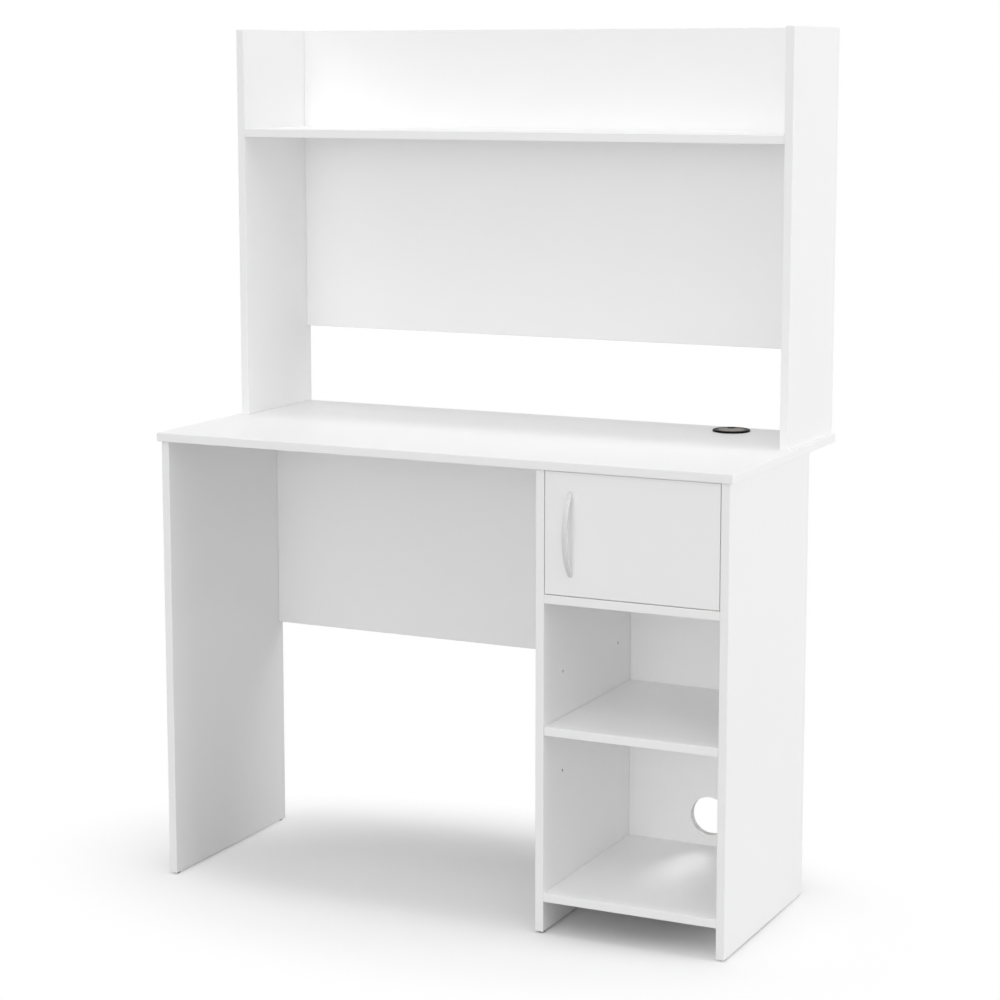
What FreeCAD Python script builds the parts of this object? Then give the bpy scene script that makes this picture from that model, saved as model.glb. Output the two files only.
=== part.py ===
# Student desk with hutch: a flat-pack desk of melamine-faced boards, held by cam locks and dowels.
# A side cabinet with a door stands under its right end, and an open hutch stands on its rear half.
# Millimetres. +Z is up, +X is the sitter's right, and the sitter is on the -Y side.
# The origin is on the floor, under the centre of the overall box, which the handle ends in front.
import FreeCAD, Part
import os
from FreeCAD import Vector

# Boards
board = 14.0
edge_round = 1.0
blind_skin = 5.0
cut_overrun = 2.0

# Desk
desk_width = 1005.0
desk_depth = 474.0
desk_height = 750.0
side_overhang = 6.0
front_overhang = 5.0
leg_depth = 358.0
modesty_height = 369.0
bay_width = 288.0
cabinet_height = 194.0
upper_bay_height = 195.0
bottom_shelf_rise = 49.0
cable_hole_diameter = 65.0
cable_hole_rise = 50.0

# Hutch
hutch_height = 655.0
hutch_depth = 217.0
hutch_inset = 6.0
hutch_shelf_rise = 475.0
hutch_back_gap = 136.0

# Floor glides
glide_height = 3.0
glide_diameter = 11.0
glide_setback = 11.0
glide_nail_diameter = 2.5
glide_nail_length = 14.0

# Door and its pivots
door_gap = 1.2
pivot_inset = 18.0
pivot_setback = 6.0
pivot_pin_diameter = 5.0
pivot_pin_in_door = 22.0
pivot_clearance = 0.05
bush_wall = 1.5
bush_flange_width = 1.5
bush_flange_clearance = 0.3
bush_end_clearance = 0.5

# Bow handle
handle_length = 133.0
handle_hole_spacing = 120.0
handle_reach = 25.0
handle_bar = 6.0
handle_width = 8.0
handle_end_height = 3.5
handle_foot = 12.0
handle_round = 1.5
handle_setback = 42.8
handle_screw_diameter = 4.0
handle_screw_bite = 5.0
handle_screw_head_diameter = 8.0
handle_screw_head_height = 2.5

# Magnetic catch
catch_width = 42.0
catch_height = 13.0
catch_depth = 16.0
catch_setback = 24.0
catch_air_gap = 0.3
magnet_width = 20.0
magnet_height = 8.0
magnet_depth = 11.0
strike_width = 24.0
strike_height = 11.0
strike_thickness = 1.2
small_screw_diameter = 3.0
small_screw_bite = 8.0
small_screw_head_diameter = 6.0
small_screw_head_height = 1.8

# Cable grommet
grommet_flange_diameter = 62.0
grommet_flange_height = 3.0
grommet_sleeve_diameter = 50.0
grommet_cap_diameter = 45.0
grommet_cap_height = 3.0
grommet_ledge_width = 2.0
grommet_from_rear = 46.0
grommet_rim_round = 1.0
notch_width = 13.0
notch_reach = 10.5
notch_turn = 20.0

# Shelf pins
pin_diameter = 5.0
pin_in_panel = 8.0
pin_in_shelf = 7.0
pin_row_spacing = 80.0
pin_front_setback = 72.0
pin_rear_setback = 66.0
shelf_side_clearance = 0.5
shelf_rear_clearance = 1.0
shelf_setback = 1.0
groove_rest = 0.05
groove_play = 0.6

# Cam fittings and dowels
cam_diameter = 15.0
cam_skin = 2.5
cam_setback = 24.0
cam_slot_width = 1.6
cam_slot_depth = 2.0
bolt_thread_diameter = 6.0
bolt_neck_diameter = 5.0
bolt_head_diameter = 7.0
bolt_head_length = 5.0
bolt_channel_diameter = 8.0
dowel_diameter = 6.0
dowel_in_edge = 20.0
hole_fit = 0.1
hole_end_clearance = 0.4

# Screws that hold the hutch down, driven up through the desktop behind the legs
hutch_screw_head_diameter = 10.0
hutch_screw_head_height = 3.0
hutch_screw_shank_diameter = 7.0
hutch_screw_thread_diameter = 5.0
hutch_screw_bite = 36.0

# Places along a board, as shares of its length
leg_cam_shares = (0.54, 0.91)
leg_dowel_shares = (0.12, 0.33)
shelf_cam_shares = (0.2, 0.8)
shelf_dowel_shares = (0.5,)
modesty_cam_shares = (0.2, 0.8)
modesty_dowel_shares = (0.5,)
pedestal_back_cam_shares = (0.3, 0.83)
pedestal_back_dowel_shares = (0.1, 0.62)
hutch_back_cam_shares = (0.16, 0.86)
hutch_back_dowel_shares = (0.5,)
hutch_screw_shares = (0.26, 0.8)
hutch_dowel_share = 0.22
catch_screw_share = 0.4
cam_recess_share = 0.62

# Planes of the desk that several boards share
overall_depth = desk_depth + handle_reach - front_overhang
desk_front = handle_reach - front_overhang - overall_depth / 2
desk_rear = desk_front + desk_depth
desk_left = -desk_width / 2
desk_right = desk_width / 2
panel_front = desk_front + front_overhang
panel_rear = panel_front + leg_depth
back_front = panel_rear - board
desk_underside = desk_height - board
leg_inner = desk_left + side_overhang + board
bay_right = desk_right - side_overhang - board
bay_left = bay_right - bay_width
bay_middle = (bay_left + bay_right) / 2
divider_left = bay_left - board
cabinet_floor_top = desk_underside - cabinet_height
shelf_top = cabinet_floor_top - board - upper_bay_height
shelf_middle = shelf_top - board / 2
bottom_shelf_under = glide_height + bottom_shelf_rise
bottom_shelf_top = bottom_shelf_under + board
modesty_bottom = desk_underside - modesty_height
hutch_front = desk_rear - hutch_depth
hutch_top = desk_height + hutch_height
hutch_left_inner = desk_left + hutch_inset + board
hutch_right_inner = desk_right - hutch_inset - board
hutch_shelf_under = desk_height + hutch_shelf_rise
hutch_back_bottom = desk_height + hutch_back_gap
hutch_back_front = desk_rear - board
door_left = bay_left + door_gap
door_right = bay_right - door_gap
door_bottom = cabinet_floor_top + door_gap
door_top = desk_underside - door_gap
door_rear = panel_front + board
door_middle = (door_bottom + door_top) / 2
handle_x = door_left + handle_setback

right = Vector(1, 0, 0)
rear = Vector(0, 1, 0)
up = Vector(0, 0, 1)
left = -right
front = -rear
down = -up

cam_locks = []
cam_bolts = []
wood_dowels = []
holes = {}


def block(low, high):
    size = high - low
    return Part.makeBox(size.x, size.y, size.z, low)


def rod(diameter, length, base, axis):
    return Part.makeCylinder(diameter / 2, length, base, axis)


# A round piece of several diameters: steps are (length, diameter), counted from base along axis.
def turned(base, axis, steps):
    corners = [Vector(0, 0, 0)]
    height = 0
    for length, diameter in steps:
        corners.append(Vector(diameter / 2, 0, height))
        height += length
        corners.append(Vector(diameter / 2, 0, height))
    corners.append(Vector(0, 0, height))
    profile = Part.Face(Part.makePolygon(corners + corners[:1]))
    piece = profile.revolve(Vector(0, 0, 0), up, 360)
    piece.Placement = FreeCAD.Placement(base, FreeCAD.Rotation(up, axis))
    return piece


# A board with the small rounding of its edge band on every arris.
def rounded_board(low, high):
    body = block(low, high)
    return body.makeFillet(edge_round, body.Edges)


def drill(name, diameter, depth, mouth, axis):
    cutter = rod(diameter, depth + cut_overrun, mouth - axis * cut_overrun, axis)
    holes.setdefault(name, []).append(cutter)


def along(start, end, share):
    return start + (end - start) * share


# One cam fitting: seat is where the bolt crosses from the face board into the edge board's middle plane,
# inward runs from the face board into the edge board, and cam_side points to the face the cam is set in.
def cam_joint(edge_board, face_board, seat, inward, cam_side):
    thread_depth = board - blind_skin
    cam_height = board - cam_skin
    centre = seat + inward * cam_setback
    mouth = centre + cam_side * (board / 2)
    drill(face_board, bolt_thread_diameter + hole_fit, thread_depth + hole_end_clearance, seat, -inward)
    drill(edge_board, bolt_channel_diameter, cam_setback, seat, inward)
    drill(edge_board, cam_diameter + hole_fit, cam_height, mouth, -cam_side)
    neck_length = cam_setback - bolt_head_length / 2
    steps = [(thread_depth, bolt_thread_diameter), (neck_length, bolt_neck_diameter)]
    steps.append((bolt_head_length, bolt_head_diameter))
    cam_bolts.append(turned(seat - inward * thread_depth, inward, steps))
    lock = rod(cam_diameter, cam_height, mouth - cam_side * cam_height, cam_side)
    pocket_length = cam_diameter / 2 + bolt_head_length / 2 + hole_end_clearance
    pocket_end = centre + inward * (bolt_head_length / 2 + hole_end_clearance)
    pocket_diameter = bolt_head_diameter + 2 * hole_end_clearance
    lock = lock.cut(rod(pocket_diameter, pocket_length + cut_overrun, pocket_end, -inward))
    cross = inward.cross(cam_side)
    reach = cam_diameter / 2 * cam_recess_share
    slot_floor = mouth - cam_side * cam_slot_depth
    for length_axis, width_axis in ((inward, cross), (cross, inward)):
        long = length_axis * reach
        wide = width_axis * (cam_slot_width / 2)
        corners = [slot_floor + long + wide, slot_floor + long - wide, slot_floor - long - wide]
        corners.append(slot_floor - long + wide)
        slot = Part.Face(Part.makePolygon(corners + corners[:1]))
        lock = lock.cut(slot.extrude(cam_side * (cam_slot_depth + cut_overrun)))
    cam_locks.append(lock)


def dowel_joint(edge_board, face_board, seat, inward):
    face_depth = board - blind_skin
    bore = dowel_diameter + hole_fit
    drill(face_board, bore, face_depth + hole_end_clearance, seat, -inward)
    drill(edge_board, bore, dowel_in_edge + hole_end_clearance, seat, inward)
    wood_dowels.append(rod(dowel_diameter, face_depth + dowel_in_edge, seat - inward * face_depth, inward))


# Joins a line of places between two points by cams and dowels.
def join_line(edge_board, face_board, start, end, inward, cam_side, cam_shares, dowel_shares):
    for share in cam_shares:
        cam_joint(edge_board, face_board, along(start, end, share), inward, cam_side)
    for share in dowel_shares:
        dowel_joint(edge_board, face_board, along(start, end, share), inward)


def join_legs():
    places = (("left_leg_panel", leg_inner - board / 2, right),
              ("pedestal_inner_panel", bay_left - board / 2, left),
              ("pedestal_outer_panel", bay_right + board / 2, left))
    for name, x, cam_side in places:
        start = Vector(x, panel_front, desk_underside)
        end = Vector(x, panel_rear, desk_underside)
        join_line(name, "desktop", start, end, down, cam_side, leg_cam_shares, leg_dowel_shares)


def join_upright(name, left_name, right_name, left_x, right_x, y, low, high, cam_shares, dowel_shares):
    for face_board, x, inward in ((left_name, left_x, right), (right_name, right_x, left)):
        start = Vector(x, y, low)
        end = Vector(x, y, high)
        join_line(name, face_board, start, end, inward, rear, cam_shares, dowel_shares)


def join_shelf(name, left_name, right_name, left_x, right_x, near, far, z):
    for face_board, x, inward in ((left_name, left_x, right), (right_name, right_x, left)):
        start = Vector(x, near, z)
        end = Vector(x, far, z)
        join_line(name, face_board, start, end, inward, down, shelf_cam_shares, shelf_dowel_shares)


def join_boards():
    middle = board / 2
    inner = "pedestal_inner_panel"
    outer = "pedestal_outer_panel"
    join_legs()
    join_upright("modesty_panel", "left_leg_panel", inner, leg_inner, divider_left, panel_rear - middle,
                 modesty_bottom, desk_underside, modesty_cam_shares, modesty_dowel_shares)
    join_upright("pedestal_back_panel", inner, outer, bay_left, bay_right, panel_rear - middle,
                 bottom_shelf_under, desk_underside, pedestal_back_cam_shares, pedestal_back_dowel_shares)
    join_upright("hutch_back_panel", "hutch_left_side", "hutch_right_side", hutch_left_inner,
                 hutch_right_inner, desk_rear - middle, hutch_back_bottom, hutch_top,
                 hutch_back_cam_shares, hutch_back_dowel_shares)
    join_shelf("cabinet_floor", inner, outer, bay_left, bay_right, panel_front, back_front,
               cabinet_floor_top - middle)
    join_shelf("bottom_shelf", inner, outer, bay_left, bay_right, panel_front, back_front,
               bottom_shelf_top - middle)
    join_shelf("hutch_shelf", "hutch_left_side", "hutch_right_side", hutch_left_inner, hutch_right_inner,
               hutch_front, hutch_back_front, hutch_shelf_under + middle)


# The hutch stands on the desktop: two screws come up behind each leg, and a dowel sits further forward.
def hutch_fixings():
    screws = []
    stem = board - hutch_screw_head_height
    steps = [(hutch_screw_head_height, hutch_screw_head_diameter), (stem, hutch_screw_shank_diameter)]
    steps.append((hutch_screw_bite, hutch_screw_thread_diameter))
    for name, x in (("hutch_left_side", hutch_left_inner - board / 2),
                    ("hutch_right_side", hutch_right_inner + board / 2)):
        for share in hutch_screw_shares:
            y = along(panel_rear, desk_rear, share)
            under = Vector(x, y, desk_underside)
            drill("desktop", hutch_screw_head_diameter + hole_fit, hutch_screw_head_height, under, up)
            drill("desktop", hutch_screw_shank_diameter + hole_fit, board + cut_overrun, under, up)
            drill(name, hutch_screw_thread_diameter + hole_fit, hutch_screw_bite + hole_end_clearance,
                  Vector(x, y, desk_height), up)
            screws.append(turned(under, up, steps))
        dowel_y = along(hutch_front, panel_rear, hutch_dowel_share)
        dowel_joint(name, "desktop", Vector(x, dowel_y, desk_height), up)
    return Part.makeCompound(screws)


def floor_glides():
    glides = []
    steps = [(glide_height, glide_diameter), (glide_nail_length, glide_nail_diameter)]
    for name, x in (("left_leg_panel", leg_inner - board / 2),
                    ("pedestal_inner_panel", bay_left - board / 2),
                    ("pedestal_outer_panel", bay_right + board / 2)):
        for y in (panel_front + glide_setback, panel_rear - glide_setback):
            drill(name, glide_nail_diameter + hole_fit, glide_nail_length + hole_end_clearance,
                  Vector(x, y, glide_height), up)
            glides.append(turned(Vector(x, y, 0), up, steps))
    return Part.makeCompound(glides)


# Three rows of pin holes in both panels of the bay, with pins in the middle row.
def shelf_pins():
    pins = []
    for y in (panel_front + pin_front_setback, panel_rear - pin_rear_setback):
        for name, x, inward in (("pedestal_inner_panel", bay_left, right),
                                ("pedestal_outer_panel", bay_right, left)):
            for row in (-1, 0, 1):
                mouth = Vector(x, y, shelf_middle + row * pin_row_spacing)
                drill(name, pin_diameter + hole_fit, pin_in_panel + hole_end_clearance, mouth, -inward)
            foot = Vector(x, y, shelf_middle) - inward * pin_in_panel
            pins.append(rod(pin_diameter, pin_in_panel + pin_in_shelf, foot, inward))
    return Part.makeCompound(pins)


# The shelf's ends have grooves, open at the rear, that slide over the pins and rest on them.
def adjustable_shelf():
    low = Vector(bay_left + shelf_side_clearance, panel_front + shelf_setback, shelf_top - board)
    high = Vector(bay_right - shelf_side_clearance, back_front - shelf_rear_clearance, shelf_top)
    shelf = rounded_board(low, high)
    ceiling = shelf_middle + pin_diameter / 2 + groove_rest
    groove_floor = shelf_middle - pin_diameter / 2 - groove_play
    start = panel_front + pin_front_setback - pin_diameter / 2 - groove_play
    depth = pin_in_shelf + groove_play - shelf_side_clearance
    for inner, outer in ((low.x + depth, low.x - cut_overrun), (high.x - depth, high.x + cut_overrun)):
        slot_low = Vector(min(inner, outer), start, groove_floor)
        slot_high = Vector(max(inner, outer), high.y + cut_overrun, ceiling)
        shelf = shelf.cut(block(slot_low, slot_high))
    return shelf


def pivot_axis(z):
    return Vector(door_right - pivot_inset, panel_front + pivot_setback, z)


# A pin in the door's top edge and one in its bottom edge, each turning in a flanged bush.
def door_pivots():
    pins = []
    bushes = []
    bush_depth = board - blind_skin
    bore = pivot_pin_diameter + 2 * pivot_clearance
    sleeve = bore + 2 * bush_wall
    flange_height = door_gap - bush_flange_clearance
    pin_in_bush = bush_depth - bush_end_clearance
    for name, edge_z, board_z, way in (("desktop", door_top, desk_underside, up),
                                       ("cabinet_floor", door_bottom, cabinet_floor_top, down)):
        foot = pivot_axis(edge_z) - way * pivot_pin_in_door
        pins.append(rod(pivot_pin_diameter, pivot_pin_in_door + door_gap + pin_in_bush, foot, way))
        drill("cabinet_door", pivot_pin_diameter + hole_fit, pivot_pin_in_door + hole_end_clearance,
              pivot_axis(edge_z), -way)
        mouth = pivot_axis(board_z)
        drill(name, sleeve + hole_fit, bush_depth, mouth, way)
        flange_face = mouth - way * flange_height
        steps = [(flange_height, sleeve + 2 * bush_flange_width), (bush_depth, sleeve)]
        bush = turned(flange_face, way, steps)
        bushes.append(bush.cut(rod(bore, flange_height + bush_depth + 2 * cut_overrun,
                                   flange_face - way * cut_overrun, way)))
    return Part.makeCompound(pins), Part.makeCompound(bushes)


# A crescent bow: an outer and an inner arc between two feet, with rounded long edges.
def door_handle():
    half = handle_length / 2
    inner_half = half - handle_foot
    inner_reach = handle_reach - handle_bar

    def place(out, rise):
        return Vector(handle_x - handle_width / 2, panel_front - out, door_middle + rise)

    outer = Part.Arc(place(handle_end_height, half), place(handle_reach, 0),
                     place(handle_end_height, -half))
    inner = Part.Arc(place(0, -inner_half), place(inner_reach, 0), place(0, inner_half))
    edges = [Part.makeLine(place(0, half), place(handle_end_height, half)), outer.toShape(),
             Part.makeLine(place(handle_end_height, -half), place(0, -half)),
             Part.makeLine(place(0, -half), place(0, -inner_half)), inner.toShape(),
             Part.makeLine(place(0, inner_half), place(0, half))]
    bow = Part.Face(Part.Wire(edges)).extrude(right * handle_width)
    arcs = [edge for edge in bow.Edges if isinstance(edge.Curve, Part.Circle)]
    bow = bow.makeFillet(handle_round, arcs)
    hole_length = handle_screw_bite + hole_end_clearance + cut_overrun
    for sign in (-1, 1):
        foot = Vector(handle_x, panel_front, door_middle + sign * handle_hole_spacing / 2)
        bow = bow.cut(rod(handle_screw_diameter + hole_fit, hole_length, foot + rear * cut_overrun, front))
    return bow


def handle_screws():
    screws = []
    steps = [(handle_screw_head_height, handle_screw_head_diameter)]
    steps.append((board + handle_screw_bite, handle_screw_diameter))
    for sign in (-1, 1):
        seat = Vector(handle_x, door_rear, door_middle + sign * handle_hole_spacing / 2)
        drill("cabinet_door", handle_screw_diameter + hole_fit, board + cut_overrun, seat, front)
        screws.append(turned(seat + rear * handle_screw_head_height, front, steps))
    return Part.makeCompound(screws)


# The catch hangs under the desktop by the door's free edge, and its strike is on the door.
def magnetic_catch():
    catch_x = door_left + catch_setback + catch_width / 2
    face = door_rear + strike_thickness + catch_air_gap
    middle_z = desk_underside - catch_height / 2
    housing = block(Vector(catch_x - catch_width / 2, face, desk_underside - catch_height),
                    Vector(catch_x + catch_width / 2, face + catch_depth, desk_underside))
    corners = [edge for edge in housing.Edges if edge.BoundBox.ZLength > edge.BoundBox.XLength]
    housing = housing.makeFillet(edge_round, corners)
    magnet = block(Vector(catch_x - magnet_width / 2, face, middle_z - magnet_height / 2),
                   Vector(catch_x + magnet_width / 2, face + magnet_depth, middle_z + magnet_height / 2))
    pocket = block(Vector(catch_x - magnet_width / 2, face - cut_overrun, middle_z - magnet_height / 2),
                   Vector(catch_x + magnet_width / 2, face + magnet_depth, middle_z + magnet_height / 2))
    housing = housing.cut(pocket)
    screws = []
    steps = [(small_screw_head_height, small_screw_head_diameter)]
    steps.append((catch_height - small_screw_head_height + small_screw_bite, small_screw_diameter))
    head_hole = small_screw_head_diameter + hole_fit
    for sign in (-1, 1):
        screw_x = catch_x + sign * catch_width * catch_screw_share
        seat = Vector(screw_x, face + catch_depth / 2, desk_underside - catch_height)
        below = seat + down * cut_overrun
        shank_hole = small_screw_diameter + hole_fit
        housing = housing.cut(rod(shank_hole, catch_height + 2 * cut_overrun, below, up))
        housing = housing.cut(rod(head_hole, small_screw_head_height + cut_overrun, below, up))
        drill("desktop", small_screw_diameter + hole_fit, small_screw_bite + hole_end_clearance,
              Vector(seat.x, seat.y, desk_underside), up)
        screws.append(turned(seat, up, steps))
    centre = Vector(catch_x, door_rear, middle_z)
    half_strike = Vector(strike_width / 2, 0, strike_height / 2)
    strike = block(centre - half_strike, centre + half_strike + rear * strike_thickness)
    strike_hole_length = strike_thickness + 2 * cut_overrun
    strike = strike.cut(rod(head_hole, strike_hole_length, centre + front * cut_overrun, rear))
    drill("cabinet_door", small_screw_diameter + hole_fit, small_screw_bite + hole_end_clearance,
          centre, front)
    strike_steps = [(strike_thickness, small_screw_head_diameter), (small_screw_bite, small_screw_diameter)]
    strike_screw = turned(centre + rear * strike_thickness, front, strike_steps)
    return housing, magnet, Part.makeCompound(screws), strike, strike_screw


# A flanged liner with a ledge inside, and a cap that turns on the ledge and has a notch for cables.
def cable_grommet():
    centre = Vector(bay_middle, desk_rear - grommet_from_rear, desk_height)
    flange_top = centre + up * grommet_flange_height
    drill("desktop", grommet_sleeve_diameter + hole_fit, board + cut_overrun, centre, down)
    steps = [(board, grommet_sleeve_diameter), (grommet_flange_height, grommet_flange_diameter)]
    liner = turned(centre + down * board, up, steps)
    seat_diameter = grommet_cap_diameter + 2 * pivot_clearance
    throat_diameter = grommet_cap_diameter - 2 * grommet_ledge_width
    ledge = flange_top + down * (grommet_cap_height + groove_rest)
    liner = liner.cut(rod(seat_diameter, grommet_cap_height + groove_rest + cut_overrun, ledge, up))
    foot = centre + down * (board + cut_overrun)
    liner = liner.cut(rod(throat_diameter, board + 2 * cut_overrun, foot, up))
    rim = [edge for edge in liner.Edges if edge.BoundBox.ZMin > flange_top.z - hole_fit
           and edge.BoundBox.XLength > grommet_sleeve_diameter]
    liner = liner.makeFillet(grommet_rim_round, rim)
    cap_base = flange_top + down * grommet_cap_height
    cap = rod(grommet_cap_diameter, grommet_cap_height, cap_base, up)
    rim_y = centre.y + grommet_cap_diameter / 2
    notch_foot = Vector(centre.x, rim_y - notch_reach + notch_width / 2, cap_base.z - cut_overrun)
    notch_height = grommet_cap_height + 2 * cut_overrun
    half_notch = right * (notch_width / 2)
    notch_end = Vector(centre.x, rim_y + cut_overrun, notch_foot.z + notch_height)
    notch = rod(notch_width, notch_height, notch_foot, up)
    notch = notch.fuse(block(notch_foot - half_notch, notch_end + half_notch))
    notch.rotate(centre, up, notch_turn)
    return liner, cap.cut(notch)


def plain_boards():
    def upright(x):
        return rounded_board(Vector(x, panel_front, glide_height),
                             Vector(x + board, panel_rear, desk_underside))

    def hutch_side(x):
        return rounded_board(Vector(x, hutch_front, desk_height), Vector(x + board, desk_rear, hutch_top))

    def bay_shelf(top):
        return rounded_board(Vector(bay_left, panel_front, top - board), Vector(bay_right, back_front, top))

    boards = {}
    boards["desktop"] = rounded_board(Vector(desk_left, desk_front, desk_underside),
                                      Vector(desk_right, desk_rear, desk_height))
    boards["left_leg_panel"] = upright(leg_inner - board)
    boards["pedestal_inner_panel"] = upright(divider_left)
    boards["pedestal_outer_panel"] = upright(bay_right)
    boards["modesty_panel"] = rounded_board(Vector(leg_inner, back_front, modesty_bottom),
                                            Vector(divider_left, panel_rear, desk_underside))
    boards["pedestal_back_panel"] = rounded_board(Vector(bay_left, back_front, bottom_shelf_under),
                                                  Vector(bay_right, panel_rear, desk_underside))
    boards["cabinet_floor"] = bay_shelf(cabinet_floor_top)
    boards["bottom_shelf"] = bay_shelf(bottom_shelf_top)
    boards["hutch_left_side"] = hutch_side(hutch_left_inner - board)
    boards["hutch_right_side"] = hutch_side(hutch_right_inner)
    hutch_shelf_high = Vector(hutch_right_inner, hutch_back_front, hutch_shelf_under + board)
    boards["hutch_shelf"] = rounded_board(Vector(hutch_left_inner, hutch_front, hutch_shelf_under),
                                          hutch_shelf_high)
    hutch_back_low = Vector(hutch_left_inner, hutch_back_front, hutch_back_bottom)
    hutch_back_high = Vector(hutch_right_inner, desk_rear, hutch_top)
    boards["hutch_back_panel"] = rounded_board(hutch_back_low, hutch_back_high)
    boards["cabinet_door"] = rounded_board(Vector(door_left, panel_front, door_bottom),
                                           Vector(door_right, door_rear, door_top))
    return boards


def cable_hole():
    centre = Vector(bay_middle, back_front, bottom_shelf_top + cable_hole_rise)
    drill("pedestal_back_panel", cable_hole_diameter, board + cut_overrun, centre, rear)


nodes = plain_boards()
join_boards()
cable_hole()
nodes["hutch_screws"] = hutch_fixings()
nodes["floor_glides"] = floor_glides()
nodes["shelf_pins"] = shelf_pins()
nodes["adjustable_shelf"] = adjustable_shelf()
nodes["door_pivot_pins"], nodes["pivot_bushes"] = door_pivots()
nodes["door_handle"] = door_handle()
nodes["handle_screws"] = handle_screws()
(nodes["catch_housing"], nodes["catch_magnet"], nodes["catch_screws"],
 nodes["strike_plate"], nodes["strike_screw"]) = magnetic_catch()
nodes["grommet_liner"], nodes["grommet_cap"] = cable_grommet()
for name, cutters in holes.items():
    nodes[name] = nodes[name].cut(cutters)
nodes["cam_locks"] = Part.makeCompound(cam_locks)
nodes["cam_bolts"] = Part.makeCompound(cam_bolts)
nodes["wood_dowels"] = Part.makeCompound(wood_dowels)

os.makedirs("parts", exist_ok=True)
for name, shape in nodes.items():
    shape.exportStep("parts/" + name + ".step")
    print(name, len(shape.Solids), "solids", round(shape.Volume), "mm3", "valid", shape.isValid())
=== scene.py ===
import math

import bpy
from mathutils import Matrix, Vector


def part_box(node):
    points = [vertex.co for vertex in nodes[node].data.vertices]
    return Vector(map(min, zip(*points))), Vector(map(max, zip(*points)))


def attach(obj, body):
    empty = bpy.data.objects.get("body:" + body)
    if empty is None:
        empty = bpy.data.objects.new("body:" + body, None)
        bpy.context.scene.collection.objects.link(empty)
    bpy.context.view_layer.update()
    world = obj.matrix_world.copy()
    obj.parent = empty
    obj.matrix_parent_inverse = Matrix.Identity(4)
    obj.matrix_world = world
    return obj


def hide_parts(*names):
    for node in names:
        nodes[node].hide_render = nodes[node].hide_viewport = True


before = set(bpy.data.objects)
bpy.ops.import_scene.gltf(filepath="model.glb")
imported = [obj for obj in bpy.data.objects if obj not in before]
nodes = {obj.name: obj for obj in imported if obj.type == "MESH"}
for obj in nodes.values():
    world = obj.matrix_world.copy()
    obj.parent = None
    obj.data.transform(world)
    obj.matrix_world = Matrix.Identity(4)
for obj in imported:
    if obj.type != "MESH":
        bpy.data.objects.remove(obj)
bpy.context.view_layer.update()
print("frame loaded:", len(nodes), "nodes")


# small helpers


def toLinear(hexText):
    channels = [int(hexText[i:i + 2], 16) / 255 for i in (1, 3, 5)]
    linear = [c / 12.92 if c <= 0.04045 else ((c + 0.055) / 1.055) ** 2.4 for c in channels]
    return (*linear, 1.0)


# settings are a node's own values or fixed sockets, links are the sockets that another node feeds
def addNode(tree, kind, settings=None, links=None):
    node = tree.nodes.new(kind)
    for name, value in (settings or {}).items():
        if isinstance(name, str) and hasattr(node, name):
            setattr(node, name, value)
        else:
            node.inputs[name].default_value = value
    for name, source in (links or {}).items():
        tree.links.new(source, node.inputs[name])
    return node


# the Mix node's sockets for numbers and for colours: factor, first, second and result
mixSockets = {"FLOAT": (0, 2, 3, 0), "RGBA": (0, 6, 7, 2)}


def addMix(tree, kind, factor, first, second):
    factorSocket, firstSocket, secondSocket, resultSocket = mixSockets[kind]
    settings = {"data_type": kind}
    links = {factorSocket: factor}
    for socket, value in ((firstSocket, first), (secondSocket, second)):
        if isinstance(value, bpy.types.NodeSocket):
            links[socket] = value
        else:
            settings[socket] = value
    return addNode(tree, "ShaderNodeMix", settings, links).outputs[resultSocket]


# 1 for rays that show a thing to the eye, straight or in gloss or glass, and 0 for those that only light
def eyeRays(tree):
    path = addNode(tree, "ShaderNodeLightPath")
    seen = addNode(tree, "ShaderNodeMath", {"operation": "MAXIMUM"},
                   {0: path.outputs["Is Camera Ray"], 1: path.outputs["Is Glossy Ray"]})
    seen = addNode(tree, "ShaderNodeMath", {"operation": "MAXIMUM"},
                   {0: seen.outputs[0], 1: path.outputs["Is Transmission Ray"]})
    return seen.outputs[0]


def newMaterial(name):
    material = bpy.data.materials.new(name)
    material.use_nodes = True
    tree = material.node_tree
    shader = tree.nodes["Principled BSDF"]
    return material, tree, shader


def dress(nodeName, material):
    mesh = nodes[nodeName].data
    mesh.materials.clear()
    mesh.materials.append(material)


# camera at the photograph's viewing angle, from a fit to the desk's corners
cameraSettings = {
    "place": (1.798, -3.702, 1.343),
    "pitchDown": 8.56,
    "yaw": 25.745,
    "lens": 91.68,
    "sensorWidth": 36.0,
    "shiftX": 0.0,
    "shiftY": -0.05,
}


def makeCamera(s):
    lens = bpy.data.cameras.new("photoCamera")
    lens.sensor_width = s["sensorWidth"]
    lens.lens = s["lens"]
    lens.shift_x = s["shiftX"]
    lens.shift_y = s["shiftY"]
    lens.dof.use_dof = False
    camera = bpy.data.objects.new("photoCamera", lens)
    camera.location = s["place"]
    camera.rotation_euler = (math.radians(90 - s["pitchDown"]), 0, math.radians(s["yaw"]))
    bpy.context.collection.objects.link(camera)
    bpy.context.scene.camera = camera


makeCamera(cameraSettings)
print("camera set")


# soft studio light: a box high overhead, one low on the right, and a small disk set in the cable hole
# for the light that comes through it from behind
lightSettings = {
    "overhead": {"place": (0.27, -0.27, 20.0), "aim": (0.0, -0.1, 0.7), "size": (4.0, 4.0), "power": 775},
    "right": {"place": (7.2, 0.6, 2.0), "aim": (0.3, 0.0, 0.8), "size": (3.2, 2.4), "power": 181},
    "hole": {"place": (0.3385, 0.115, 0.116), "aim": (0.3365, -0.03, 0.066), "size": (0.072, 0.072),
             "power": 0.0085, "shape": "DISK", "spread": 32.0, "hidden": True},
}
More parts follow.
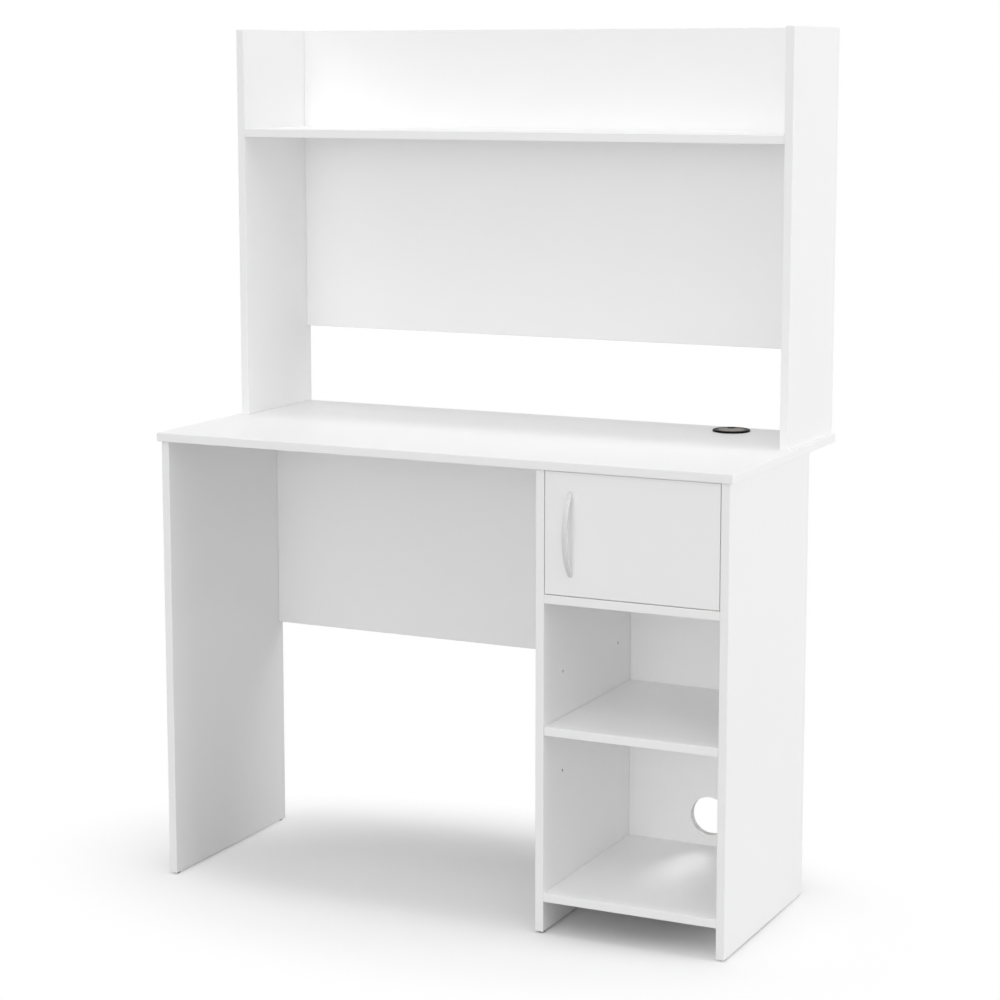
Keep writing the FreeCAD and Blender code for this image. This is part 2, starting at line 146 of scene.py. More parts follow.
# an even light all round, with three broad glows from the front and a faint one from behind
glowSettings = {
    "base": 0.283,
    "seenStrength": 1.0,
    "glows": {
        "frontLow": {"azimuth": 0.0, "elevation": 5.0, "strength": 4.35, "tightness": 30.0},
        "frontHigh": {"azimuth": 0.0, "elevation": 60.0, "strength": 0.97, "tightness": 6.0},
        "frontRight": {"azimuth": 45.0, "elevation": 30.0, "strength": 0.63, "tightness": 6.0},
        "rear": {"azimuth": 180.0, "elevation": 20.0, "strength": 0.35, "tightness": 6.0},
    },
}
# white bays pass light on many times
bounceSettings = {"total": 16, "diffuse": 12}


def makeSoftbox(name, s):
    data = bpy.data.lights.new(name + "Softbox", "AREA")
    data.shape = s.get("shape", "RECTANGLE")
    data.size, data.size_y = s["size"]
    data.energy = s["power"]
    if "spread" in s:
        data.spread = math.radians(s["spread"])
    lamp = bpy.data.objects.new(name + "Softbox", data)
    lamp.location = s["place"]
    aim = Vector(s["aim"]) - Vector(s["place"])
    lamp.rotation_euler = aim.to_track_quat("-Z", "Y").to_euler()
    bpy.context.collection.objects.link(lamp)
    if "hidden" in s:
        lamp.visible_camera = not s["hidden"]


def makeWorld(s):
    world = bpy.data.worlds.new("studio")
    bpy.context.scene.world = world
    world.use_nodes = True
    tree = world.node_tree
    background = tree.nodes["Background"]
    background.inputs["Color"].default_value = (1, 1, 1, 1)
    seen = eyeRays(tree)
    place = addNode(tree, "ShaderNodeTexCoord")
    total = None
    for glow in s["glows"].values():
        azimuth, elevation = math.radians(glow["azimuth"]), math.radians(glow["elevation"])
        aim = (math.sin(azimuth) * math.cos(elevation), -math.cos(azimuth) * math.cos(elevation),
               math.sin(elevation))
        towards = addNode(tree, "ShaderNodeVectorMath", {"operation": "DOT_PRODUCT", 1: aim},
                          {0: place.outputs["Generated"]})
        ahead = addNode(tree, "ShaderNodeMath", {"operation": "MAXIMUM", 1: 0.0},
                        {0: towards.outputs["Value"]})
        ahead = addNode(tree, "ShaderNodeMath", {"operation": "POWER", 1: glow["tightness"]},
                        {0: ahead.outputs[0]})
        added = addNode(tree, "ShaderNodeMath",
                        {"operation": "MULTIPLY_ADD", 1: glow["strength"], 2: s["base"]},
                        {0: ahead.outputs[0]})
        if total:
            tree.links.new(total.outputs[0], added.inputs[2])
        total = added
    strength = addMix(tree, "FLOAT", seen, total.outputs[0], s["seenStrength"])
    tree.links.new(strength, background.inputs["Strength"])


for lampName, lampSettings in lightSettings.items():
    makeSoftbox(lampName, lampSettings)
makeWorld(glowSettings)
bpy.context.scene.view_settings.view_transform = "Standard"
bpy.context.scene.cycles.max_bounces = bounceSettings["total"]
bpy.context.scene.cycles.diffuse_bounces = bounceSettings["diffuse"]
print("lights set")


# pale studio floor that keeps the shadow near the desk and fades to white away from it
floorSettings = {
    "size": 40.0,
    "seenColour": "#f8f8f8",
    "bounceColour": "#c0c0c0",
    "whiteStrength": 1.0,
    "zoneMiddle": (0.0, -0.08, 0.0),
    "zoneReach": (0.85, 0.5, 1.0),
    "fadeStart": 0.4,
    "fadeEnd": 1.0,
}


def makeFloor(s):
    bpy.ops.object.select_all(action="DESELECT")
    bpy.ops.mesh.primitive_plane_add(size=s["size"], location=(0, 0, 0))
    floor = bpy.context.object
    floor.name = "studioFloor"
    material, tree, shader = newMaterial("studioPaper")
    tree.nodes.remove(shader)
    bounce = addNode(tree, "ShaderNodeBsdfDiffuse", {"Color": toLinear(s["bounceColour"])})
    paper = addNode(tree, "ShaderNodeBsdfDiffuse", {"Color": toLinear(s["seenColour"])})
    white = addNode(tree, "ShaderNodeEmission", {"Strength": s["whiteStrength"]})
    seen = eyeRays(tree)
    place = addNode(tree, "ShaderNodeTexCoord")
    zone = addNode(tree, "ShaderNodeMapping",
                   {"vector_type": "TEXTURE", "Location": s["zoneMiddle"], "Scale": s["zoneReach"]},
                   {"Vector": place.outputs["Object"]})
    distance = addNode(tree, "ShaderNodeVectorMath", {"operation": "LENGTH"}, {0: zone.outputs[0]})
    fade = addNode(tree, "ShaderNodeMapRange",
                   {"interpolation_type": "SMOOTHSTEP",
                    "From Min": s["fadeStart"], "From Max": s["fadeEnd"]},
                   {"Value": distance.outputs["Value"]})
    faded = addNode(tree, "ShaderNodeMixShader", None,
                    {0: fade.outputs[0], 1: paper.outputs[0], 2: white.outputs[0]})
    surface = addNode(tree, "ShaderNodeMixShader", None,
                      {0: seen, 1: bounce.outputs[0], 2: faded.outputs[0]})
    tree.links.new(surface.outputs[0], tree.nodes["Material Output"].inputs["Surface"])
    floor.data.materials.append(material)


makeFloor(floorSettings)
print("floor set")


# white melamine-faced chipboard with taped edges: even white faces with a fine pearl emboss,
# slightly smoother tape on the edges, and raw chips only where a hole is drilled
boardSettings = {
    "face": "#f9f9f9",
    "faceShade": "#f7f7f7",
    "tape": "#f8f8f8",
    "seam": "#dcdcda",
    "chipLight": "#c9a878",
    "chipDark": "#8a6a43",
    "rimWhite": "#f3f3f2",
    "faceRoughness": 0.42,
    "tapeRoughness": 0.34,
    "chipRoughness": 0.9,
    "tapeFacing": 0.86,  # a surface turned further than this from the board's face is tape
    "seamBand": 0.07,  # and the glue line shows this far either side of that turn
    "arrisMm": 0.45,  # raw core starts this deep inside the board
    "pearlMm": 2.2,
    "pearlDetail": 3.0,
    "mottleMm": 90.0,
    "mottleDetail": 2.0,
    "chipMm": 2.5,
    "bumpMm": 0.02,
    "bumpStrength": 0.35,
    "ior": 1.5,
}
# each board with the axis that its faces look along
boardAxes = {
    "desktop": "Z", "left_leg_panel": "X", "pedestal_inner_panel": "X", "pedestal_outer_panel": "X",
    "modesty_panel": "Y", "pedestal_back_panel": "Y", "cabinet_floor": "Z", "bottom_shelf": "Z",
    "hutch_left_side": "X", "hutch_right_side": "X", "hutch_shelf": "Z", "hutch_back_panel": "Y",
    "cabinet_door": "Y", "adjustable_shelf": "Z",
}
# boards whose open holes are white inside
whiteRimBoards = ("pedestal_back_panel", "pedestal_inner_panel", "pedestal_outer_panel")


def melamineBoard(boardName, axis, s):
    material, tree, shader = newMaterial("melamineBoard." + boardName)
    low, high = (Vector(corner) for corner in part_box(boardName))
    middle, half = (low + high) / 2, (high - low) / 2
    place = addNode(tree, "ShaderNodeTexCoord")
    # core: how deep a point lies inside the board's box
    fromMiddle = addNode(tree, "ShaderNodeVectorMath", {"operation": "SUBTRACT", 1: middle},
                         {0: place.outputs["Object"]})
    outward = addNode(tree, "ShaderNodeVectorMath", {"operation": "ABSOLUTE"}, {0: fromMiddle.outputs[0]})
    inset = addNode(tree, "ShaderNodeVectorMath", {"operation": "SUBTRACT", 0: half},
                    {1: outward.outputs[0]})
    depths = addNode(tree, "ShaderNodeSeparateXYZ", None, {0: inset.outputs[0]})
    nearest = addNode(tree, "ShaderNodeMath", {"operation": "MINIMUM"},
                      {0: depths.outputs["X"], 1: depths.outputs["Y"]})
    nearest = addNode(tree, "ShaderNodeMath", {"operation": "MINIMUM"},
                      {0: nearest.outputs[0], 1: depths.outputs["Z"]})
    inCore = addNode(tree, "ShaderNodeMath", {"operation": "GREATER_THAN", 1: s["arrisMm"] / 1000},
                     {0: nearest.outputs[0]})
    # tape and glue line: how far the surface turns from the board's face
    slopes = addNode(tree, "ShaderNodeSeparateXYZ", None, {0: place.outputs["Normal"]})
    facing = addNode(tree, "ShaderNodeMath", {"operation": "ABSOLUTE"}, {0: slopes.outputs[axis]})
    onTape = addNode(tree, "ShaderNodeMath", {"operation": "LESS_THAN", 1: s["tapeFacing"]},
                     {0: facing.outputs[0]})
    seamLine = addNode(tree, "ShaderNodeMath",
                       {"operation": "COMPARE", 1: s["tapeFacing"], 2: s["seamBand"]},
                       {0: facing.outputs[0]})
    # colour
    mottle = addNode(tree, "ShaderNodeTexNoise",
                     {"Scale": 1000 / s["mottleMm"], "Detail": s["mottleDetail"]},
                     {"Vector": place.outputs["Object"]})
    face = addMix(tree, "RGBA", mottle.outputs["Fac"], toLinear(s["face"]), toLinear(s["faceShade"]))
    taped = addMix(tree, "RGBA", onTape.outputs[0], face, toLinear(s["tape"]))
    seamed = addMix(tree, "RGBA", seamLine.outputs[0], taped, toLinear(s["seam"]))
    chips = addNode(tree, "ShaderNodeTexVoronoi", {"Scale": 1000 / s["chipMm"]},
                    {"Vector": place.outputs["Object"]})
    chipTone = addNode(tree, "ShaderNodeSeparateColor", None, {0: chips.outputs["Color"]})
    light, dark = s["chipLight"], s["chipDark"]
    if boardName in whiteRimBoards:
        light, dark = s["rimWhite"], s["seam"]
    core = addMix(tree, "RGBA", chipTone.outputs[0], toLinear(light), toLinear(dark))
    colour = addMix(tree, "RGBA", inCore.outputs[0], seamed, core)
    tree.links.new(colour, shader.inputs["Base Color"])
    # gloss
    skin = addNode(tree, "ShaderNodeMapRange", {"To Min": s["faceRoughness"], "To Max": s["tapeRoughness"]},
                   {"Value": onTape.outputs[0]})
    gloss = addMix(tree, "FLOAT", inCore.outputs[0], skin.outputs[0], s["chipRoughness"])
    tree.links.new(gloss, shader.inputs["Roughness"])
    # emboss
    pearl = addNode(tree, "ShaderNodeTexNoise", {"Scale": 1000 / s["pearlMm"], "Detail": s["pearlDetail"]},
                    {"Vector": place.outputs["Object"]})
    emboss = addMix(tree, "FLOAT", inCore.outputs[0], pearl.outputs["Fac"], chips.outputs["Distance"])
    bump = addNode(tree, "ShaderNodeBump", {"Strength": s["bumpStrength"], "Distance": s["bumpMm"] / 1000},
                   {"Height": emboss})
    tree.links.new(bump.outputs[0], shader.inputs["Normal"])
    shader.inputs["IOR"].default_value = s["ior"]
    return material


for boardName, axis in boardAxes.items():
    dress(boardName, melamineBoard(boardName, axis, boardSettings))
print("boards dressed:", len(boardAxes))


# small hardware: one way of making its finishes, each with its own settings
grainSettings = {"speckDetail": 3.0, "speckLow": 0.3, "speckHigh": 0.7, "grainDetail": 2.0}
finishSettings = {
    # powder coat on die-cast zinc: pale satin with a very slight orange peel
    "satinPowderCoat": {"light": "#e4e4e4", "dark": "#dcdcdc", "speckMm": 5.0, "roughness": (0.26, 0.34),
                        "grainMm": 1.2, "bumpMm": 0.03, "grainDepth": 0.3},
    # black moulded ABS: fine spark-eroded grain that turns the gloss to a very faint sheen
    "blackAbs": {"light": "#121211", "dark": "#0b0b0b", "speckMm": 4.0, "roughness": (0.38, 0.5),
                 "grainMm": 0.7, "bumpMm": 0.05, "grainDepth": 0.5, "specular": 0.05},
    # dark grey moulded ABS: the same grain with a soft sheen and a brown cast
    "greyAbs": {"light": "#6f675f", "dark": "#60594f", "speckMm": 4.0, "roughness": (0.36, 0.48),
                "grainMm": 0.7, "bumpMm": 0.05, "grainDepth": 0.5},
    # black polyethylene: waxy, with scuffs from the floor
    "blackPolyethylene": {"light": "#2c2c2d", "dark": "#19191a", "speckMm": 3.0, "roughness": (0.4, 0.6),
                          "grainMm": 1.0, "bumpMm": 0.05, "grainDepth": 0.4},
    # die-cast zinc: dull grey with the cloudy skin of a casting
    "castZinc": {"light": "#b4b4b2", "dark": "#94948f", "speckMm": 3.5, "roughness": (0.38, 0.55),
                 "grainMm": 0.6, "bumpMm": 0.04, "grainDepth": 0.5, "metallic": 1.0},
    # zinc-plated steel: brighter, with a faint cold cast and a fine grain
    "platedSteel": {"light": "#cfd2d5", "dark": "#b3b6ba", "speckMm": 2.5, "roughness": (0.2, 0.34),
                    "grainMm": 0.5, "bumpMm": 0.02, "grainDepth": 0.4, "metallic": 1.0},
    # planed beech: pinkish straw with small darker flecks
    "planedBeech": {"light": "#dcbb8f", "dark": "#b98d5c", "speckMm": 1.6, "roughness": (0.55, 0.7),
                    "grainMm": 0.8, "bumpMm": 0.06, "grainDepth": 0.6},
    # white moulded nylon: slightly warm, with a soft sheen
    "whiteNylon": {"light": "#efeeea", "dark": "#e4e3de", "speckMm": 5.0, "roughness": (0.36, 0.46),
                   "grainMm": 0.8, "bumpMm": 0.03, "grainDepth": 0.35},
    # sintered ferrite: charcoal, matt and gritty
    "sinteredFerrite": {"light": "#4a4a4c", "dark": "#2f2f31", "speckMm": 1.2, "roughness": (0.6, 0.8),
                        "grainMm": 0.6, "bumpMm": 0.06, "grainDepth": 0.6},
}
# fittings that stay as their CAD nodes
nodeFinishes = {
    "door_pivot_pins": "platedSteel", "pivot_bushes": "whiteNylon", "catch_magnet": "sinteredFerrite",
    "strike_plate": "platedSteel", "cam_locks": "castZinc", "cam_bolts": "platedSteel",
    "wood_dowels": "planedBeech", "shelf_pins": "platedSteel",
}


def grainedFinish(name, s, grainShape):
    material, tree, shader = newMaterial(name)
    place = addNode(tree, "ShaderNodeTexCoord")
    speck = addNode(tree, "ShaderNodeTexNoise",
                    {"Scale": 1000 / s["speckMm"], "Detail": grainShape["speckDetail"]},
                    {"Vector": place.outputs["Object"]})
    spread = addNode(tree, "ShaderNodeMapRange",
                     {"From Min": grainShape["speckLow"], "From Max": grainShape["speckHigh"]},
                     {"Value": speck.outputs["Fac"]})
    colour = addMix(tree, "RGBA", spread.outputs[0], toLinear(s["light"]), toLinear(s["dark"]))
    tree.links.new(colour, shader.inputs["Base Color"])
    gloss = addNode(tree, "ShaderNodeMapRange", {"To Min": s["roughness"][0], "To Max": s["roughness"][1]},
                    {"Value": spread.outputs[0]})
    tree.links.new(gloss.outputs[0], shader.inputs["Roughness"])
    grain = addNode(tree, "ShaderNodeTexNoise",
                    {"Scale": 1000 / s["grainMm"], "Detail": grainShape["grainDetail"]},
                    {"Vector": place.outputs["Object"]})
    bump = addNode(tree, "ShaderNodeBump", {"Strength": s["grainDepth"], "Distance": s["bumpMm"] / 1000},
                   {"Height": grain.outputs["Fac"]})
    tree.links.new(bump.outputs[0], shader.inputs["Normal"])
    shader.inputs["Metallic"].default_value = s.get("metallic", 0.0)
    shader.inputs["Specular IOR Level"].default_value = s.get("specular", 0.5)
    return material


finishes = {name: grainedFinish(name, s, grainSettings) for name, s in finishSettings.items()}
for nodeName, finishName in nodeFinishes.items():
    dress(nodeName, finishes[finishName])
print("finishes made:", len(finishes))


# modelling helpers: millimetres in the settings, metres in the mesh
meshSettings = {"weldMm": 0.002, "sharpAngle": 35.0}


def mm(values):
    return Vector(values) / 1000


# the last of the pieces becomes the active one
def selectOnly(*pieces):
    bpy.ops.object.select_all(action="DESELECT")
    for piece in pieces:
        piece.select_set(True)
        bpy.context.view_layer.objects.active = piece


def pickVerts(piece, isPicked):
    bpy.ops.object.mode_set(mode="EDIT")
    bpy.ops.mesh.select_mode(type="VERT")
    bpy.ops.mesh.select_all(action="DESELECT")
    bpy.ops.object.mode_set(mode="OBJECT")
    for vertex in piece.data.vertices:
        vertex.select = isPicked(vertex.co)
    bpy.ops.object.mode_set(mode="EDIT")


def closePiece(piece, sharpAngle=meshSettings["sharpAngle"]):
    bpy.ops.object.mode_set(mode="EDIT")
    bpy.ops.mesh.select_all(action="SELECT")
    bpy.ops.mesh.remove_doubles(threshold=meshSettings["weldMm"] / 1000)
    bpy.ops.mesh.normals_make_consistent(inside=False)
    bpy.ops.object.mode_set(mode="OBJECT")
    bpy.ops.object.shade_smooth_by_angle(angle=math.radians(sharpAngle))


# a ring drawn round Z, then pulled up and scaled from one (radius, height) to the next
def turnRings(name, rings, sides, filled=True):
    bpy.ops.object.select_all(action="DESELECT")
    radius, height = rings[0]
    bpy.ops.mesh.primitive_circle_add(vertices=sides, radius=radius / 1000, location=(0, 0, 0),
                                      fill_type="NGON" if filled else "NOTHING")
    piece = bpy.context.object
    piece.name = name
    bpy.ops.object.mode_set(mode="EDIT")
    bpy.ops.transform.translate(value=(0, 0, height / 1000))
    for nextRadius, nextHeight in rings[1:]:
        rise = (nextHeight - height) / 1000
        bpy.ops.mesh.extrude_region_move(TRANSFORM_OT_translate={"value": (0, 0, rise)})
        grow = nextRadius / radius
        bpy.ops.transform.resize(value=(grow, grow, 1), center_override=(0, 0, nextHeight / 1000))
        radius, height = nextRadius, nextHeight
    bpy.ops.object.mode_set(mode="OBJECT")
    return piece


# a cube drawn out to the box between two corners
def makeBlock(name, low, high):
    bpy.ops.object.select_all(action="DESELECT")
    bpy.ops.mesh.primitive_cube_add(size=1.0, location=(0, 0, 0))
    piece = bpy.context.object
    piece.name = name
    bpy.ops.object.mode_set(mode="EDIT")
    bpy.ops.transform.resize(value=mm(high) - mm(low))
    bpy.ops.transform.translate(value=(mm(high) + mm(low)) / 2)
    bpy.ops.object.mode_set(mode="OBJECT")
    return piece


def cutAway(piece, cutter):
    cut = piece.modifiers.new("cut", "BOOLEAN")
    cut.operation = "DIFFERENCE"
    cut.solver = "EXACT"
    cut.use_self = True
    cut.object = cutter
    selectOnly(piece)
    bpy.ops.object.modifier_apply(modifier="cut")
    bpy.data.objects.remove(cutter, do_unlink=True)


def copyPiece(source, name):
    selectOnly(source)
    bpy.ops.object.duplicate(linked=False)
    piece = bpy.context.object
    piece.name = name
    return piece


# stands a piece modelled round Z at its base and along its way, with the place kept in the mesh
def setPiece(piece, base, way):
    turn = Vector((0, 0, 1)).rotation_difference(Vector(way))
    selectOnly(piece)
    piece.matrix_world = Matrix.Translation(mm(base)) @ turn.to_matrix().to_4x4()
    bpy.ops.object.transform_apply(location=True, rotation=True, scale=True)


def finishPiece(piece, finishName, body, nodeName):
    piece.data.materials.clear()
    piece.data.materials.append(finishes[finishName])
    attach(piece, body)
    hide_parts(nodeName)


# bow handle: a rounded bar spun about a centre behind the door and cut off flat where it meets it
handleSettings = {
    "x": 238.5, "middleZ": 639.0, "doorFace": -222.0,
    "barWidth": 8.0, "barDepth": 6.0, "cornerRound": 1.5, "cornerSteps": 5,
    "reach": 25.0, "bowRadius": 100.8, "sweep": 45.0, "steps": 56, "sharpAngle": 50.0,
}


def makeBowHandle(s):
    bpy.ops.object.select_all(action="DESELECT")
    bpy.ops.mesh.primitive_plane_add(size=1.0, location=(0, 0, 0))
    piece = bpy.context.object
    piece.name = "bowHandle"
    bpy.ops.object.mode_set(mode="EDIT")
    bpy.ops.transform.resize(value=(s["barWidth"] / 1000, s["barDepth"] / 1000, 1))
    bpy.ops.mesh.bevel(offset=s["cornerRound"] / 1000, segments=s["cornerSteps"], affect="VERTICES")
    barMiddle = s["doorFace"] - s["reach"] + s["barDepth"] / 2
    bpy.ops.transform.translate(value=mm((s["x"], barMiddle, s["middleZ"])))
    spinCentre = mm((s["x"], s["doorFace"] - s["reach"] + s["bowRadius"], s["middleZ"]))
    sweep = math.radians(s["sweep"])
    bpy.ops.transform.rotate(value=sweep, orient_axis="X", center_override=spinCentre)
    bpy.ops.mesh.spin(steps=s["steps"], angle=-2 * sweep, center=spinCentre, axis=(1, 0, 0))
    bpy.ops.mesh.select_all(action="SELECT")
    bpy.ops.mesh.bisect(plane_co=mm((0, s["doorFace"], 0)), plane_no=(0, 1, 0), use_fill=True,
                        clear_outer=True)
    closePiece(piece, s["sharpAngle"])
    finishPiece(piece, "satinPowderCoat", "door", "door_handle")


makeBowHandle(handleSettings)
print("handle modelled")


# cable grommet: a ring with a rounded rim let into the desktop, and a dished cap with a notch for cables
grommetSettings = {
    "centre": (338.5, 201.0, 750.0), "sides": 96,
    "ringRings": [(24.9, -14.0), (24.9, -0.04), (30.8, 0.0), (31.0, 0.3), (31.0, 1.7), (30.85, 2.3),
                  (30.4, 2.75), (29.6, 3.0), (24.6, 3.0), (23.5, 2.85), (22.9, 2.5), (22.55, 2.0),
                  (22.55, -0.05), (20.5, -0.05), (20.5, -13.6), (21.0, -14.0), (24.9, -14.0)],
    "capRings": [(22.1, 0.0), (22.45, 0.3), (22.45, 2.4), (22.25, 2.8), (21.7, 3.0), (20.7, 3.0),
                 (20.2, 2.85), (19.6, 2.65), (12.0, 2.55), (4.0, 2.5)],
    "notchRadius": 6.5, "notchMiddle": 18.5, "notchTurn": 20.0, "notchRun": 12.0,
    "notchReach": 6.0, "notchSides": 48,
}


def makeGrommet(s):
    ring = turnRings("grommetRing", s["ringRings"], s["sides"], filled=False)
    closePiece(ring)
    setPiece(ring, s["centre"], (0, 0, 1))
    finishPiece(ring, "blackAbs", "desk", "grommet_liner")
    cap = turnRings("grommetCap", s["capRings"], s["sides"])
    closePiece(cap)
    turn = math.radians(s["notchTurn"])
    away = Vector((-math.sin(turn), math.cos(turn), 0))
    notchRings = [(s["notchRadius"], -s["notchReach"]), (s["notchRadius"], s["notchReach"])]
    cutter = turnRings("notchCutter", notchRings, s["notchSides"])
    pickVerts(cutter, lambda place: place.dot(away) > 0)
    bpy.ops.transform.translate(value=away * s["notchRun"] / 1000)
    bpy.ops.object.mode_set(mode="OBJECT")
    closePiece(cutter)
    setPiece(cutter, away * s["notchMiddle"], (0, 0, 1))
    cutAway(cap, cutter)
    closePiece(cap)
    setPiece(cap, s["centre"], (0, 0, 1))
    finishPiece(cap, "greyAbs", "cap", "grommet_cap")


makeGrommet(grommetSettings)
print("grommet modelled")


# screws with a domed head, a cross recess and a thread, modelled head first along Z
screwSettings = {
    "handleScrew": {
        "head": (4.0, 2.4), "shank": 1.65, "length": 19.0, "pitch": 0.8, "crest": 1.98, "plain": 8.0,
        "sites": [((238.5, -205.5, 579.0), (0, -1, 0)), ((238.5, -205.5, 699.0), (0, -1, 0))],
        "body": "door", "node": "handle_screws",
    },
    "catchScrew": {
        "head": (3.0, 1.7), "shank": 1.1, "length": 19.1, "pitch": 1.2, "crest": 1.48, "plain": 9.0,
        "sites": [((223.9, -198.5, 723.0), (0, 0, 1)), ((257.5, -198.5, 723.0), (0, 0, 1))],
        "body": "desk", "node": "catch_screws",
    },
    "strikeScrew": {
        "head": (3.0, 1.15), "shank": 1.1, "length": 7.9, "pitch": 1.2, "crest": 1.48, "plain": 1.5,
        "sites": [((240.7, -206.8, 729.5), (0, -1, 0))],
        "body": "door", "node": "strike_screw",
    },
    "hutchScrew": {
        "head": (5.0, 2.9), "shank": 2.0, "length": 47.0, "pitch": 2.4, "crest": 2.48, "plain": 12.0,
        "collar": 3.45,
        "sites": [((-489.5, 164.9, 736.0), (0, 0, 1)), ((-489.5, 224.8, 736.0), (0, 0, 1)),
                  ((489.5, 164.9, 736.0), (0, 0, 1)), ((489.5, 224.8, 736.0), (0, 0, 1))],
        "body": "desk", "node": "hutch_screws",
    },
}
# what all of them share: the dome and the cross are shares of the head's radius and height, in that order
screwForm = {
    "dome": [(0.5, 0.0), (0.78, 0.1), (0.94, 0.3), (1.0, 0.6), (1.0, 1.0)], "sides": 32,
    "runOut": 0.6, "tipLength": 1.2, "tipShare": 0.4,
    "crossWidth": 0.2, "crossLength": 1.05, "crossDepth": 1.2, "crossTaper": 0.55,
    "threadSink": 0.15, "threadSteps": 18, "threadStop": 1.4, "sharpAngle": 30.0,
}


# a triangle wound up the shank as a helix
def makeThread(s, form, start, end):
    bpy.ops.object.select_all(action="DESELECT")
    height = s["crest"] - s["shank"] + form["threadSink"]
    middle = s["crest"] - height / 2
    bpy.ops.mesh.primitive_circle_add(vertices=3, radius=height / 2 / 1000, location=(0, 0, 0),
                                      fill_type="NOTHING")
    thread = bpy.context.object
    bpy.ops.object.mode_set(mode="EDIT")
    bpy.ops.transform.rotate(value=math.radians(90), orient_axis="X", center_override=(0, 0, 0))
    bpy.ops.transform.rotate(value=math.radians(90), orient_axis="Y", center_override=(0, 0, 0))
    bpy.ops.transform.translate(value=mm((middle, 0, start)))
    bpy.ops.object.mode_set(mode="OBJECT")
    helix = thread.modifiers.new("helix", "SCREW")
    helix.axis = "Z"
    helix.screw_offset = s["pitch"] / 1000
    helix.iterations = max(1, int((end - start) / s["pitch"]))
    helix.steps = helix.render_steps = form["threadSteps"]
    bpy.ops.object.modifier_apply(modifier="helix")
    bpy.ops.object.mode_set(mode="EDIT")
    bpy.ops.mesh.select_all(action="SELECT")
    bpy.ops.mesh.fill_holes(sides=3)
    bpy.ops.object.mode_set(mode="OBJECT")
    return thread


# two crossed bars that narrow into the head
def makeCross(headRadius, headHeight, form):
    span = Vector((headRadius * form["crossWidth"], headRadius * form["crossLength"],
                   headHeight * form["crossDepth"]))
    cross = makeBlock("crossCutter", -span / 2, span / 2)
    bpy.ops.object.mode_set(mode="EDIT")
    bpy.ops.mesh.duplicate()
    bpy.ops.transform.rotate(value=math.radians(90), orient_axis="Z", center_override=(0, 0, 0))
    bpy.ops.object.mode_set(mode="OBJECT")
    pickVerts(cross, lambda place: place.z > 0)
    bpy.ops.transform.resize(value=(form["crossTaper"], form["crossTaper"], 1), center_override=(0, 0, 0))
    bpy.ops.object.mode_set(mode="OBJECT")
    return cross


def makeScrew(name, s, form):
    headRadius, headHeight = s["head"]
    plainEnd = headHeight + s["plain"]
    tip = headHeight + s["length"]
    collar = s.get("collar", s["crest"])
    rings = [(headRadius * across, headHeight * up) for across, up in form["dome"]]
    rings += [(collar, headHeight), (collar, plainEnd - form["runOut"]), (s["shank"], plainEnd),
              (s["shank"], tip - form["tipLength"]), (s["shank"] * form["tipShare"], tip)]
    screw = turnRings(name, rings, form["sides"])
    closePiece(screw)
    cutAway(screw, makeCross(headRadius, headHeight, form))
    thread = makeThread(s, form, plainEnd, tip - form["threadStop"])
    selectOnly(thread, screw)
    bpy.ops.object.join()
    closePiece(screw, form["sharpAngle"])
    for number, (base, way) in enumerate(s["sites"], 1):
        piece = copyPiece(screw, name + "." + str(number))
        setPiece(piece, base, way)
        finishPiece(piece, "platedSteel", s["body"], s["node"])
    bpy.data.objects.remove(screw, do_unlink=True)


for screwName, s in screwSettings.items():
    makeScrew(screwName, s, screwForm)
print("screws modelled")


# floor glides: a domed pad on a nail, two under each panel
glideSettings = {
    "rings": [(3.2, 0.0), (4.4, 0.35), (5.2, 1.0), (5.5, 1.8), (5.5, 2.6), (5.3, 3.0), (1.25, 3.0),
              (1.25, 15.5), (0.3, 17.0)],
    "sides": 40, "panelXs": (-489.5, 187.5, 489.5), "rows": (-211.0, 125.0),
}


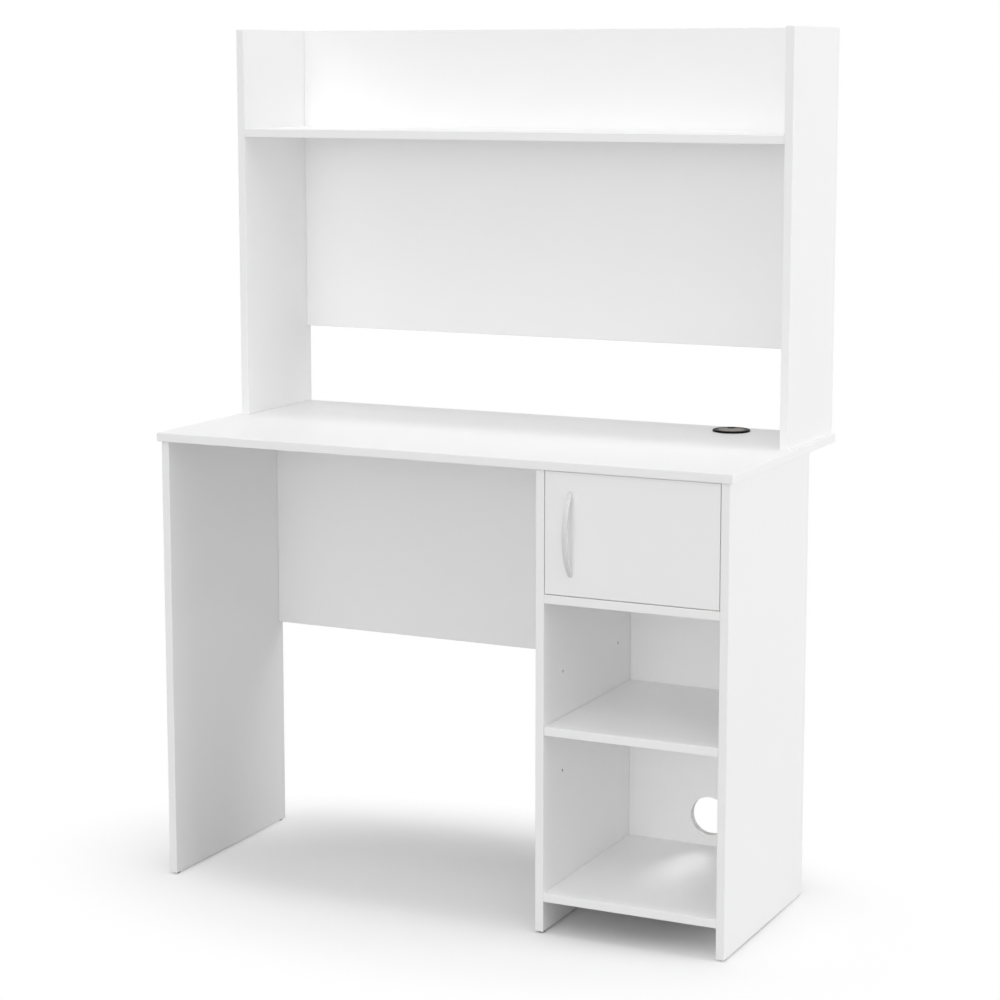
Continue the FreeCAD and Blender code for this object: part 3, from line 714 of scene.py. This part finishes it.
def makeGlides(s):
    glide = turnRings("floorGlide", s["rings"], s["sides"])
    closePiece(glide)
    for column, x in enumerate(s["panelXs"]):
        for row, y in enumerate(s["rows"]):
            piece = copyPiece(glide, "floorGlide." + str(column * len(s["rows"]) + row + 1))
            setPiece(piece, (x, y, 0.0), (0, 0, 1))
            finishPiece(piece, "blackPolyethylene", "desk", "floor_glides")
    bpy.data.objects.remove(glide, do_unlink=True)


makeGlides(glideSettings)
print("glides modelled")


# magnetic catch: a white moulded housing with softened edges, its magnet pocket and two sunk screw holes
catchSettings = {
    "low": (219.7, -206.5, 723.0), "high": (261.7, -190.5, 736.0),
    "bevel": 1.2, "bevelSteps": 4, "sharpTop": 1.0,
    "pocketLow": (230.7, -210.0, 725.5), "pocketHigh": (250.7, -195.5, 733.5),
    "screwXs": (223.9, 257.5), "screwY": -198.5, "shankRadius": 1.55, "headRadius": 3.05, "headDepth": 1.8,
    "drillStart": -2.0, "drillEnd": 20.0, "drillSides": 32,
}


def makeCatch(s):
    housing = makeBlock("catchHousing", s["low"], s["high"])
    top = s["high"][2] / 1000
    bpy.ops.object.mode_set(mode="EDIT")
    bpy.ops.mesh.select_mode(type="EDGE")
    bpy.ops.mesh.select_all(action="DESELECT")
    bpy.ops.object.mode_set(mode="OBJECT")
    corners = housing.data.vertices
    for edge in housing.data.edges:
        edge.select = any(corners[i].co.z < top - s["sharpTop"] / 1000 for i in edge.vertices)
    bpy.ops.object.mode_set(mode="EDIT")
    bpy.ops.mesh.bevel(offset=s["bevel"] / 1000, segments=s["bevelSteps"], affect="EDGES")
    bpy.ops.object.mode_set(mode="OBJECT")
    cutAway(housing, makeBlock("pocketCutter", s["pocketLow"], s["pocketHigh"]))
    bottom = s["low"][2]
    drillRings = [(s["headRadius"], s["drillStart"]), (s["headRadius"], s["headDepth"]),
                  (s["shankRadius"], s["headDepth"]), (s["shankRadius"], s["drillEnd"])]
    for x in s["screwXs"]:
        hole = turnRings("holeCutter", drillRings, s["drillSides"])
        closePiece(hole)
        setPiece(hole, (x, s["screwY"], bottom), (0, 0, 1))
        cutAway(housing, hole)
    closePiece(housing)
    finishPiece(housing, "whiteNylon", "desk", "catch_housing")


makeCatch(catchSettings)
print("catch modelled")
